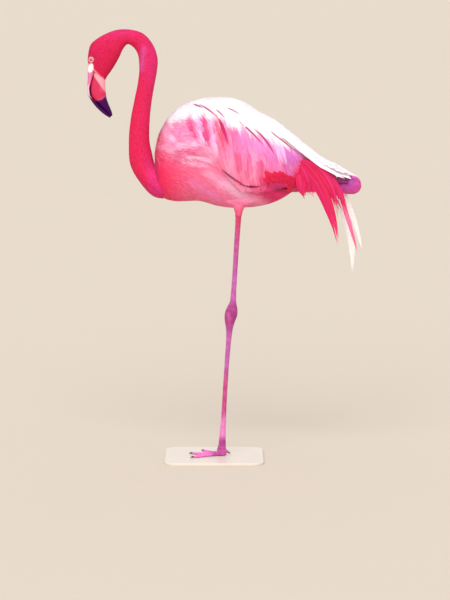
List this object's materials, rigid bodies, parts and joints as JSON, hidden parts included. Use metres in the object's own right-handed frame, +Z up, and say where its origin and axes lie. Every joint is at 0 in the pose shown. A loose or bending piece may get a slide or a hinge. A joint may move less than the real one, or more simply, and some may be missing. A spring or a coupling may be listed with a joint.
{
  "type": "flamingo",
  "caption": "Life-size still model of a flamingo standing on one leg with the other folded, its neck in an S and its bill hanging, on a flat base plate.",
  "frame": {"origin": "on the floor under the middle of the standing foot, at the underside of the base plate", "axes": "+Z up, the bird faces -X and its left side faces -Y"},
  "size_m": [0.6378, 0.19, 1.0003],
  "materials": {
    "plumage_pale": "soft overlapping pale pink feathers",
    "plumage_deep": "fine close feathers, deep coral pink",
    "plumage_black": "stiff black flight feathers with a satin sheen",
    "leg_skin": "scaly lilac and magenta skin, slightly waxy",
    "bill": "smooth horn, pale pink and coral with a black tip",
    "claw": "dark horn",
    "eye": "wet, glossy",
    "base_enamel": "satin pale enamel on steel"
  },
  "bodies": {
    "root": {"trunk": "plumage_pale", "neck_base": "plumage_deep", "neck_lower": "plumage_deep", "neck_middle": "plumage_deep", "neck_upper": "plumage_deep", "head": "plumage_deep", "bill_upper": "bill", "bill_lower": "bill", "tail": "plumage_pale", "eye_left": "eye", "eye_right": "eye", "wing_left": "plumage_pale", "wing_right": "plumage_pale", "flight_feathers_left": "plumage_black", "flight_feathers_right": "plumage_black", "tertials_left": "plumage_deep", "tertials_right": "plumage_deep", "thigh_left": "plumage_deep", "shank_left": "leg_skin", "hock_left": "leg_skin", "tarsus_left": "leg_skin", "foot_left": "leg_skin", "shank_right": "leg_skin", "hock_right": "leg_skin", "tarsus_right": "leg_skin", "foot_right": "leg_skin", "stand_base": "base_enamel", "claw_left_inner": "claw", "claw_left_middle": "claw", "claw_left_outer": "claw", "claw_left_hind": "claw", "claw_right_inner": "claw", "claw_right_middle": "claw", "claw_right_outer": "claw", "claw_right_hind": "claw"}
  },
  "joints": []
}
